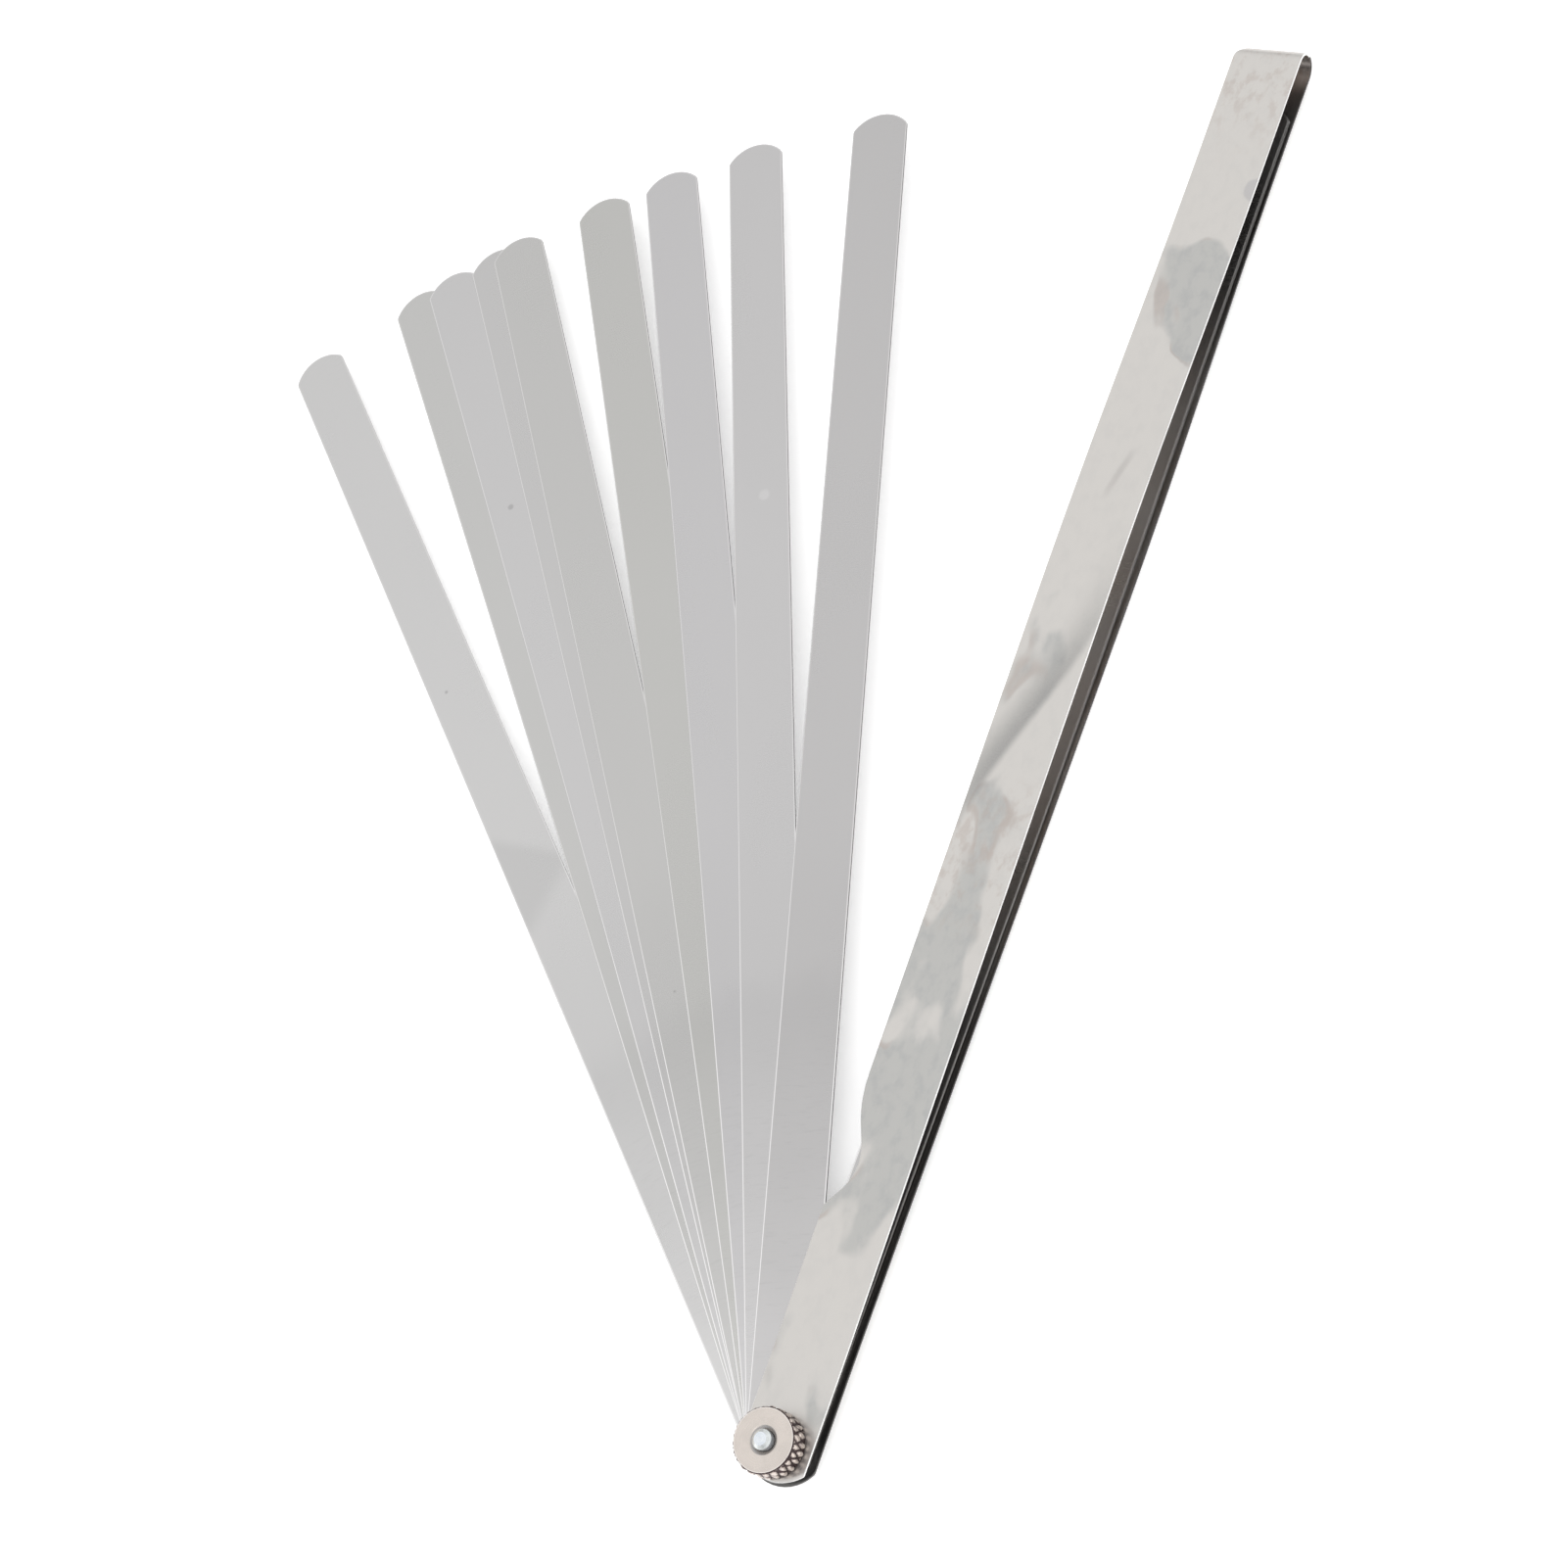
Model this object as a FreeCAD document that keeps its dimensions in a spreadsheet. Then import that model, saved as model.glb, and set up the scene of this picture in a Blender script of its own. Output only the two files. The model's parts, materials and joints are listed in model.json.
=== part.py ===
import FreeCAD, Part
import math
import os
import Sketcher

# Long-leaf feeler gauge. Millimetres, +Z up. The origin is on the pivot axis, on the plane that the
# gauge rests on. +Y runs along the case, from the pivot to the folded end, and +X is to its right.

DOC = FreeCAD.newDocument("feeler_gauge")
PARTS_FOLDER = "parts"

# Thickness of each leaf in hundredths of a millimetre, from the back plate up, and the angle in
# degrees by which it is turned out of the case, counter-clockwise seen from above. The leaves that
# are folded away lie a little askew, towards the case's right edge.
LEAVES = (
    (2, -0.27),
    (3, -0.24),
    (4, -0.19),
    (5, -0.27),
    (6, -0.22),
    (7, -0.17),
    (8, -0.25),
    (9, -0.21),
    (10, 46.3),
    (15, 40.6),
    (20, 38.8),
    (25, 36.45),
    (30, 35.25),
    (35, 30.75),
    (40, 27.3),
    (45, 23.1),
    (50, 17.05),
)

DIMENSIONS = {
    # leaves
    "leaf_reach": 293.5,        # pivot axis to tip
    "leaf_width": 13.0,
    "leaf_tip_radius": 8.0,
    "leaf_corner_radius": 1.5,
    "leaf_gap": 0.015,          # air between neighbours in the stack
    # stud
    "stud_radius": 2.0,
    "stud_hole_radius": 2.05,
    "stud_end_height": 13.8,
    "stud_end_chamfer": 0.7,
    "stud_head_radius": 4.0,
    "stud_head_chamfer": 0.3,
    "stud_slot_width": 1.2,
    "stud_slot_depth": 1.3,
    # case: a strip folded into a front and a back plate, equally far from the middle plane
    "middle_height": 5.1,       # middle plane above the rest plane
    "sheet_thickness": 0.5,
    "case_width": 15.3,
    "case_shift": 0.3,          # strip's centre line, to the right of the pivot
    "case_reach": 305.2,        # pivot axis to the outside of the fold
    "case_tail": 12.0,          # uncut strip behind the pivot
    "fold_radius": 3.5,         # outside of the round fold
    "fold_corner": 2.6,         # taken off the fold's left corner, along either edge
    "fold_corner_radius": 3.0,
    "bow_start": 18.0,          # the plates are parallel from the tail to here,
    "bow_peak": 198.0,          # spread in straight runs to here,
    "bow_peak_height": 5.35,    # where the runs would meet this far from the middle plane,
    "bow_end": 262.0,           # and are parallel again from here to the fold
    "bow_radius": 1000.0,       # radius of the gentle bends between the runs
    "front_end_radius": 8.9,    # front plate's tail, rounded into its left edge
    "front_end_centre": 2.5,
    "back_end_radius": 8.6,     # back plate's tail, with a corner at either edge
    "back_end_centre": 1.7,
    "back_end_shift": 0.4,
    # thumb notch in the left edge of both plates
    "notch_start": 46.0,
    "notch_bottom": 54.4,
    "notch_end": 67.7,
    "notch_depth": 5.55,        # where its two ramps would meet
    "notch_radius": 10.0,
    "notch_blend_radius": 25.0,
    # knurled nut
    "nut_radius": 6.65,
    "nut_height": 5.1,
    "nut_lift": 0.02,           # running clearance above the front plate
    "nut_chamfer": 0.55,
    "nut_countersink": 0.85,
    "knurl_depth": 0.45,
    "knurl_teeth": 24,
}


def make_sheet():
    """The driving dimensions, one alias each."""
    sheet = DOC.addObject("Spreadsheet::Sheet", "Sheet")
    cells = dict(DIMENSIONS)
    for hundredths, fan in LEAVES:
        cells["thickness_%02d" % hundredths] = hundredths / 100.0
        cells["fan_angle_%02d" % hundredths] = fan
    stack = sum(hundredths for hundredths, _ in LEAVES) / 100.0
    cells["stack_height"] = stack + (len(LEAVES) + 1) * cells["leaf_gap"]
    for row, (alias, value) in enumerate(cells.items(), start=1):
        sheet.set("A%d" % row, alias)
        sheet.set("B%d" % row, repr(round(value, 6)))
        sheet.setAlias("B%d" % row, alias)
    DOC.recompute()
    return sheet


SHEET = make_sheet()


def size(alias):
    """A dimension's value, for placing sketch geometry."""
    return float(SHEET.get(alias))


def bind(obj, prop, formula):
    obj.setExpression(prop, formula)


def make_body(label):
    body = DOC.addObject("PartDesign::Body", label)
    body.Label = label
    return body


def make_sketch(body, name, role, offset=None):
    """A sketch on one of the body's own origin planes, moved along its normal by a formula."""
    sketch = body.newObject("Sketcher::SketchObject", name)
    plane = next(item for item in body.Origin.OriginFeatures if item.Role == role)
    sketch.AttachmentSupport = [(plane, "")]
    sketch.MapMode = "FlatFace"
    if offset:
        bind(sketch, ".AttachmentOffset.Base.z", offset)
    return sketch


def add_feature(body, kind, sketch, name, **settings):
    """A sketch-based feature whose text settings are formulas and other settings are values."""
    feature = body.newObject("PartDesign::" + kind, name)
    feature.Profile = sketch
    for prop, setting in settings.items():
        if isinstance(setting, str) and prop in ("Length", "Angle", "Angle2"):
            bind(feature, prop, setting)
        else:
            setattr(feature, prop, setting)
    sketch.Visibility = False
    DOC.recompute()
    return feature


def cut(body, kind, sketch, name, **settings):
    """A pocket or groove, checked to remove material."""
    before = body.Shape.Volume
    feature = add_feature(body, kind, sketch, name, **settings)
    if not body.Shape.Volume < before - 1e-4:
        raise RuntimeError(name + " cuts nothing")
    return feature


def vector(x, y):
    return FreeCAD.Vector(x, y, 0)


def add_line(sketch, start, end):
    return sketch.addGeometry(Part.LineSegment(start, end), False)


def add_arc(sketch, centre, radius, start_angle, end_angle):
    circle = Part.Circle(centre, FreeCAD.Vector(0, 0, 1), radius)
    return sketch.addGeometry(Part.ArcOfCircle(circle, start_angle, end_angle), False)


def add_circle(sketch, alias):
    """A circle about the origin whose radius follows the sheet."""
    circle = Part.Circle(vector(0, 0), FreeCAD.Vector(0, 0, 1), size(alias))
    index = sketch.addGeometry(circle, False)
    sketch.addConstraint(Sketcher.Constraint("Coincident", index, 3, -1, 1))
    radius = sketch.addConstraint(Sketcher.Constraint("Radius", index, size(alias)))
    bind(sketch, "Constraints[%d]" % radius, "Sheet." + alias)
    return index


def add_outline(sketch, corners):
    """A closed outline through corners (x, y, radius), each rounded by a tangent arc."""
    count = len(corners)
    points = [vector(x, y) for x, y, _ in corners]
    entry, leave = [], []
    for i, (_, _, radius) in enumerate(corners):
        to_last = (points[i - 1] - points[i]).normalize()
        to_next = (points[(i + 1) % count] - points[i]).normalize()
        reach = radius / math.tan(to_last.getAngle(to_next) / 2) if radius else 0.0
        entry.append(points[i] + to_last * reach)
        leave.append(points[i] + to_next * reach)
    for i, (_, _, radius) in enumerate(corners):
        if radius:
            bisector = ((entry[i] + leave[i]) * 0.5 - points[i]).normalize()
            half_turn = (leave[i] - entry[i]).Length / 2
            centre = (entry[i] + leave[i]) * 0.5 + bisector * math.sqrt(radius ** 2 - half_turn ** 2)
            middle = centre - bisector * radius
            sketch.addGeometry(Part.Arc(entry[i], middle, leave[i]), False)
        following = (i + 1) % count
        if (entry[following] - leave[i]).Length > 1e-6:
            add_line(sketch, leave[i], entry[following])


# ---------------------------------------------------------------- leaves

def sketch_leaf(body, name):
    """Half-round heel, parallel sides and a gently rounded tip with small corners."""
    sketch = make_sketch(body, name + "_outline", "XY_Plane")
    half = size("leaf_width") / 2
    tip, corner = size("leaf_tip_radius"), size("leaf_corner_radius")
    tip_centre = size("leaf_reach") - tip
    corner_x = half - corner
    corner_y = tip_centre + math.sqrt((tip - corner) ** 2 - corner_x ** 2)
    lean = math.atan2(corner_y - tip_centre, corner_x)

    heel = add_arc(sketch, vector(0, 0), half, math.pi, 2 * math.pi)
    right = add_line(sketch, vector(half, 0), vector(half, corner_y))
    right_corner = add_arc(sketch, vector(corner_x, corner_y), corner, 0, lean)
    end = add_arc(sketch, vector(0, tip_centre), tip, lean, math.pi - lean)
    left_corner = add_arc(sketch, vector(-corner_x, corner_y), corner, math.pi - lean, math.pi)
    left = add_line(sketch, vector(-half, corner_y), vector(-half, 0))

    chain = (heel, right, right_corner, end, left_corner, left)
    for first, second in zip(chain, chain[1:] + chain[:1]):
        sketch.addConstraint(Sketcher.Constraint("Tangent", first, 2, second, 1))
    sketch.addConstraint(Sketcher.Constraint("Coincident", heel, 3, -1, 1))
    sketch.addConstraint(Sketcher.Constraint("PointOnObject", end, 3, -2))
    sketch.addConstraint(Sketcher.Constraint("Vertical", right))
    sketch.addConstraint(Sketcher.Constraint("Equal", right_corner, left_corner))
    dimensions = (
        (Sketcher.Constraint("Radius", heel, half), "Sheet.leaf_width / 2"),
        (Sketcher.Constraint("Radius", end, tip), "Sheet.leaf_tip_radius"),
        (Sketcher.Constraint("Radius", right_corner, corner), "Sheet.leaf_corner_radius"),
        (Sketcher.Constraint("DistanceY", -1, 1, end, 3, tip_centre),
         "Sheet.leaf_reach - Sheet.leaf_tip_radius"),
    )
    for constraint, formula in dimensions:
        index = sketch.addConstraint(constraint)
        bind(sketch, "Constraints[%d]" % index, formula)
    add_circle(sketch, "stud_hole_radius")
    return sketch


def make_leaf(hundredths, below):
    """One leaf, lying a gap above the leaf below it, or above the back plate."""
    name = "leaf_0_%02dmm" % hundredths
    body = make_body(name)
    sketch = sketch_leaf(body, name)
    add_feature(body, "Pad", sketch, name + "_pad", Length="Sheet.thickness_%02d" % hundredths)
    body.Placement = FreeCAD.Placement(vector(0, 0), FreeCAD.Rotation(FreeCAD.Vector(0, 0, 1), 1.0))
    if below:
        floor = "%s.Placement.Base.z + %s_pad.Length" % (below.Name, below.Name)
    else:
        floor = "(Sheet.middle_height - Sheet.stack_height / 2) * 1mm"
    bind(body, ".Placement.Base.z", floor + " + Sheet.leaf_gap * 1mm")
    bind(body, ".Placement.Rotation.Angle", "Sheet.fan_angle_%02d * 1deg" % hundredths)
    return body


# ---------------------------------------------------------------- case

def case_edges():
    """Left and right edge of the strip."""
    half = size("case_width") / 2
    return size("case_shift") - half, size("case_shift") + half


def sketch_case_profile(body):
    """The folded strip seen from its side: sketch x is the gauge's Y, sketch y its Z."""
    sketch = make_sketch(body, "case_profile", "YZ_Plane", "Sheet.case_shift")
    middle, thickness = size("middle_height"), size("sheet_thickness")
    tail, reach, bend = -size("case_tail"), size("case_reach"), size("bow_radius")
    fold, pinch = size("fold_radius"), size("stack_height") / 2 + thickness

    def plate(side, inset):
        """Corners of one plate's face, from the tail to the fold, inset from the outside."""
        rows = (
            (tail, pinch, 0.0),
            (size("bow_start"), pinch, bend + inset),
            (size("bow_peak"), size("bow_peak_height"), bend - inset),
            (size("bow_end"), fold, bend + inset),
            (reach - inset, fold, fold - inset),
        )
        return [(y, middle + side * (z - inset), radius) for y, z, radius in rows]

    outside = plate(1, 0.0) + plate(-1, 0.0)[::-1]
    inside = plate(1, thickness) + plate(-1, thickness)[::-1]
    add_outline(sketch, outside + inside[::-1])
    return sketch


def sketch_plate_end(body, name, radius, middle):
    """What is cut off a plate's tail: all beyond an arc from the left to the right edge."""
    sketch = make_sketch(body, name, "XY_Plane", "Sheet.middle_height")
    left, right = case_edges()
    start = vector(left, middle.y - math.sqrt(radius ** 2 - (middle.x - left) ** 2))
    finish = vector(right, middle.y - math.sqrt(radius ** 2 - (right - middle.x) ** 2))
    spare, floor = 2.0, -size("case_tail") - 2.0
    sketch.addGeometry(Part.Arc(start, middle - vector(0, radius), finish), False)
    rim = (finish, vector(right + spare, finish.y), vector(right + spare, floor),
           vector(left - spare, floor), vector(left - spare, start.y), start)
    for first, second in zip(rim, rim[1:]):
        add_line(sketch, first, second)
    return sketch


def make_case():
    body = make_body("case")
    add_feature(body, "Pad", sketch_case_profile(body), "case_strip",
                Length="Sheet.case_width", Midplane=True)

    left, _ = case_edges()
    radius = size("front_end_radius")
    front = sketch_plate_end(body, "front_end", radius,
                             vector(left + radius, size("front_end_centre")))
    cut(body, "Pocket", front, "front_end_cut", Length="Sheet.stack_height", Reversed=True)
    back = sketch_plate_end(body, "back_end", size("back_end_radius"),
                            vector(size("back_end_shift"), size("back_end_centre")))
    cut(body, "Pocket", back, "back_end_cut", Length="Sheet.stack_height")

    notch = make_sketch(body, "thumb_notch", "XY_Plane", "Sheet.middle_height")
    outer = left - 1.0
    add_outline(notch, (
        (outer, size("notch_start"), 0.0),
        (left, size("notch_start"), 0.0),
        (left + size("notch_depth"), size("notch_bottom"), size("notch_radius")),
        (left, size("notch_end"), size("notch_blend_radius")),
        (left, size("notch_end") + 8.0, 0.0),
        (outer, size("notch_end") + 8.0, 0.0),
    ))
    cut(body, "Pocket", notch, "thumb_notch_cut", Length="Sheet.bow_peak_height * 4", Midplane=True)

    corner = make_sketch(body, "fold_corner", "XY_Plane", "Sheet.middle_height")
    reach, taken = size("case_reach"), size("fold_corner")
    add_outline(corner, (
        (outer, reach - 2 * taken, 0.0),
        (left, reach - 2 * taken, 0.0),
        (left, reach - taken, size("fold_corner_radius")),
        (left + taken + 1.0, reach + 1.0, 0.0),
        (outer, reach + 1.0, 0.0),
    ))
    cut(body, "Pocket", corner, "fold_corner_cut", Length="Sheet.fold_radius * 4", Midplane=True)

    hole = make_sketch(body, "pivot_hole", "XY_Plane", "Sheet.middle_height")
    add_circle(hole, "stud_hole_radius")
    cut(body, "Pocket", hole, "pivot_hole_cut", Length="Sheet.bow_peak_height * 4", Midplane=True)
    return body


# ---------------------------------------------------------------- stud and nut

def round_edges(shape, height, radius):
    """Names of the circular edges of one radius at one height."""
    names = []
    for number, edge in enumerate(shape.Edges, start=1):
        curve = edge.Curve
        if isinstance(curve, Part.Circle) and abs(curve.Radius - radius) < 1e-4:
            if abs(curve.Center.z - height) < 1e-4:
                names.append("Edge%d" % number)
    return names


def add_chamfer(body, name, base, height, radius, formula):
    chamfer = body.newObject("PartDesign::Chamfer", name)
    chamfer.Base = (base, round_edges(base.Shape, height, radius))
    bind(chamfer, "Size", formula)
    DOC.recompute()
    return chamfer


def make_stud():
    """Slotted cheese-head screw, head down, its end standing out of the nut."""
    body = make_body("pivot_stud")
    head = make_sketch(body, "stud_head_circle", "XY_Plane")
    add_circle(head, "stud_head_radius")
    add_feature(body, "Pad", head, "stud_head",
                Length="Sheet.middle_height - Sheet.stack_height / 2 - Sheet.sheet_thickness")
    shank = make_sketch(body, "stud_shank_circle", "XY_Plane")
    add_circle(shank, "stud_radius")
    blank = add_feature(body, "Pad", shank, "stud_shank", Length="Sheet.stud_end_height")
    tip = add_chamfer(body, "stud_end_rim", blank, size("stud_end_height"),
                      size("stud_radius"), "Sheet.stud_end_chamfer")
    add_chamfer(body, "stud_head_rim", tip, 0.0, size("stud_head_radius"),
                "Sheet.stud_head_chamfer")

    slot = make_sketch(body, "stud_slot", "XY_Plane")
    half_width, half_length = size("stud_slot_width") / 2, size("stud_head_radius") + 1.0
    add_outline(slot, (
        (-half_length, -half_width, 0.0),
        (half_length, -half_width, 0.0),
        (half_length, half_width, 0.0),
        (-half_length, half_width, 0.0),
    ))
    cut(body, "Pocket", slot, "stud_slot_cut", Length="Sheet.stud_slot_depth", Reversed=True)
    return body


def make_nut():
    """Round nut with a coarse straight knurl that a groove splits into two rows."""
    body = make_body("knurled_nut")
    rim = make_sketch(body, "nut_circles", "XY_Plane")
    add_circle(rim, "nut_radius")
    add_circle(rim, "stud_hole_radius")
    blank = add_feature(body, "Pad", rim, "nut_blank", Length="Sheet.nut_height")
    height, radius = size("nut_height"), size("nut_radius")
    top = add_chamfer(body, "nut_top_rim", blank, height, radius, "Sheet.nut_chamfer")
    bottom = add_chamfer(body, "nut_bottom_rim", top, 0.0, radius, "Sheet.nut_chamfer / 2")
    add_chamfer(body, "nut_countersink", bottom, height, size("stud_hole_radius"),
                "Sheet.nut_countersink")

    depth, spare = size("knurl_depth"), 0.3
    groove = make_sketch(body, "nut_waist", "XZ_Plane")
    add_outline(groove, (
        (radius - depth, height / 2, 0.0),
        (radius + spare, height / 2 - depth - spare, 0.0),
        (radius + spare, height / 2 + depth + spare, 0.0),
    ))
    cut(body, "Groove", groove, "nut_waist_cut", Angle="360",
        ReferenceAxis=(groove, ["V_Axis"]))

    valley = make_sketch(body, "knurl_valley", "XY_Plane")
    half_pitch = math.pi * radius / size("knurl_teeth")
    flank = half_pitch * 0.9 * (depth + spare) / depth
    add_outline(valley, (
        (radius - depth, 0.0, 0.0),
        (radius + spare, flank, 0.0),
        (radius + spare, -flank, 0.0),
    ))
    valley_cut = cut(body, "Pocket", valley, "knurl_valley_cut", Length="Sheet.nut_height * 2",
                     Midplane=True)
    pattern = body.newObject("PartDesign::PolarPattern", "knurl")
    pattern.Originals = [valley_cut]
    pattern.Axis = (valley, ["N_Axis"])
    pattern.Angle = 360
    bind(pattern, "Occurrences", "Sheet.knurl_teeth")
    body.Tip = pattern
    bind(body, ".Placement.Base.z", "(Sheet.middle_height + Sheet.stack_height / 2 + "
         "Sheet.sheet_thickness + Sheet.nut_lift) * 1mm")
    DOC.recompute()
    return body


# ---------------------------------------------------------------- build, check, write

def main():
    nodes = [make_case(), make_stud(), make_nut()]
    below = None
    for hundredths, _ in LEAVES:
        below = make_leaf(hundredths, below)
        nodes.append(below)
    DOC.recompute()

    for obj in DOC.Objects:
        if "Invalid" in obj.State or "Error" in obj.State:
            raise RuntimeError("%s is in state %s" % (obj.Label, obj.State))
    os.makedirs(PARTS_FOLDER, exist_ok=True)
    for node in nodes:
        if node.Shape.isNull() or not node.Shape.isValid():
            raise RuntimeError(node.Label + " has no valid shape")
    for node in nodes:
        node.Shape.exportStep(os.path.join(PARTS_FOLDER, node.Label + ".step"))
        box = node.Shape.BoundBox
        print("%-14s %9.2f mm3  x %7.2f %7.2f  y %7.2f %7.2f  z %6.3f %6.3f" % (
            node.Label, node.Shape.Volume, box.XMin, box.XMax, box.YMin, box.YMax,
            box.ZMin, box.ZMax))


main()
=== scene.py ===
import json
import math

import bmesh
import bpy
from mathutils import Matrix, Vector


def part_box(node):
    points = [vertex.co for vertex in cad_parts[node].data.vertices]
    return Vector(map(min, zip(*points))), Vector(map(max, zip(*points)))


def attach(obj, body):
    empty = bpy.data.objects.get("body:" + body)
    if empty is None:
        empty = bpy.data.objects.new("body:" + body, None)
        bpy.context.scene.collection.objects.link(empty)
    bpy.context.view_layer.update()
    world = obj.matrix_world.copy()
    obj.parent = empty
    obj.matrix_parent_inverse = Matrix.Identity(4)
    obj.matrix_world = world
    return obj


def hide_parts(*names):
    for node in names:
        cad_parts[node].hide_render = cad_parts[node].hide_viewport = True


# Long-leaf feeler gauge. Shapes are worked out in millimetres and written to meshes in metres.
MM = 0.001
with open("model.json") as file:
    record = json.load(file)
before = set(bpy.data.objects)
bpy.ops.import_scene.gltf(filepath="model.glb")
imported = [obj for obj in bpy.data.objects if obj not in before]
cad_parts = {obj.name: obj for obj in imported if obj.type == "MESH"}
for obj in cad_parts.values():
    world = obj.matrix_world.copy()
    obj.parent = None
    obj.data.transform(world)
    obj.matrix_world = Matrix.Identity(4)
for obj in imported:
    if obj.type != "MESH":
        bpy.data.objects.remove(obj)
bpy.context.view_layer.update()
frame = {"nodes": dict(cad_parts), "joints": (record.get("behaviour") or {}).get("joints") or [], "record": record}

NODES = frame["nodes"]
LEAVES = sorted(name for name in NODES if name.startswith("leaf_"))
BODIES = frame["record"]["behaviour"]["bodies"]
BODY_OF = {node: body for body, nodes in BODIES.items() for node in nodes}
JOINT_OF = {joint["child"]: joint for joint in frame["joints"]}
CLOSED_ANGLE = -0.27        # degrees from the case's middle line at which a leaf is folded away


def corners_of(node):
    """A node's lowest and highest corners at rest, in millimetres."""
    low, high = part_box(node)
    return Vector(low) / MM, Vector(high) / MM


def rest_angle(leaf):
    """Angle in degrees by which a leaf is turned out of the case at rest."""
    return CLOSED_ANGLE - JOINT_OF[BODY_OF[leaf]]["range_deg"][0]


def is_folded(leaf):
    """Whether a leaf lies in the case at rest. A fanned leaf is turned out by far more."""
    return rest_angle(leaf) < 1.0


# ------------------------------------------------------------------ camera, floor and light

# The pivot is the origin. View direction, roll and distance belong together.
VIEW_DIRECTION = Vector((-0.50412, 0.22583, -0.8336))
VIEW_UP = Vector((-0.18944, 0.91282, 0.3618))
CAMERA_PLACE = Vector((0.29113, -0.02609, 0.5695))
LENS_MM = 75.79


def make_camera():
    data = bpy.data.cameras.new("camera")
    data.lens = LENS_MM
    data.sensor_width = 36.0
    data.clip_start = 0.01
    camera = bpy.data.objects.new("camera", data)
    bpy.context.scene.collection.objects.link(camera)
    back = -VIEW_DIRECTION.normalized()
    right = VIEW_UP.cross(back).normalized()
    up = back.cross(right)
    turn = Matrix((right, up, back)).transposed().to_4x4()
    camera.matrix_world = Matrix.Translation(CAMERA_PLACE) @ turn
    bpy.context.scene.camera = camera


def add_object(name, mesh):
    obj = bpy.data.objects.new(name, mesh)
    bpy.context.scene.collection.objects.link(obj)
    return obj


def make_floor(material):
    mesh = bpy.data.meshes.new("floor")
    reach = 40.0
    mesh.from_pydata([(-reach, -reach, 0), (reach, -reach, 0), (reach, reach, 0), (-reach, reach, 0)],
                     [], [(0, 1, 2, 3)])
    mesh.materials.append(material)
    add_object("floor", mesh)


def make_area_light(name, place, size, watts):
    """A square softbox that faces the pivot."""
    data = bpy.data.lights.new(name, "AREA")
    data.shape = "SQUARE"
    data.size = size
    data.energy = watts
    light = bpy.data.objects.new(name, data)
    light.location = place
    light.rotation_euler = (-Vector(place)).to_track_quat("-Z", "Y").to_euler()
    bpy.context.scene.collection.objects.link(light)


# ------------------------------------------------------------------ node building

class Nodes:
    """Short calls that add nodes to a tree and return their output sockets."""

    def __init__(self, tree):
        self.tree = tree

    def feed(self, socket, value):
        if isinstance(value, bpy.types.NodeSocket):
            self.tree.links.new(value, socket)
        else:
            socket.default_value = value

    def add(self, kind, inputs=None, output=0, **settings):
        node = self.tree.nodes.new(kind)
        for key, value in settings.items():
            setattr(node, key, value)
        for key, value in (inputs or {}).items():
            self.feed(node.inputs[key], value)
        return node.outputs[output]

    def calc(self, operation, a, b=0.0):
        return self.add("ShaderNodeMath", {0: a, 1: b}, operation=operation)

    def linear(self, value, factor, offset):
        return self.add("ShaderNodeMath", {0: value, 1: factor, 2: offset}, operation="MULTIPLY_ADD")

    def length(self, vector):
        return self.add("ShaderNodeVectorMath", {0: vector}, output="Value", operation="LENGTH")

    def flat_length(self, x, y):
        return self.length(self.add("ShaderNodeCombineXYZ", {"X": x, "Y": y}))

    def step(self, value, low, high, to_low=0.0, to_high=1.0):
        """A smooth step between two values."""
        return self.add("ShaderNodeMapRange", {"Value": value, "From Min": low, "From Max": high,
                                               "To Min": to_low, "To Max": to_high},
                        interpolation_type="SMOOTHSTEP")

    def mix(self, factor, a, b):
        return self.add("ShaderNodeMix", {0: factor, 6: a, 7: b}, output=2, data_type="RGBA")

    def scaled(self, colour, factor):
        return self.add("ShaderNodeVectorMath", {0: colour, "Scale": factor}, operation="SCALE")

    def split(self, vector):
        parts = self.tree.nodes.new("ShaderNodeSeparateXYZ")
        self.tree.links.new(vector, parts.inputs[0])
        return parts.outputs[0], parts.outputs[1], parts.outputs[2]

    def profile(self, value, stops):
        """A smooth curve through stops (position from 0 to 1, grey value)."""
        ramp = self.tree.nodes.new("ShaderNodeValToRGB")
        ramp.color_ramp.interpolation = "EASE"
        elements = ramp.color_ramp.elements
        for position, grey in stops[2:]:
            elements.new(position)
        for element, (position, grey) in zip(elements, stops):
            element.position = position
            element.color = (grey, grey, grey, 1.0)
        self.feed(ramp.inputs[0], value)
        return ramp.outputs[0]


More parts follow.
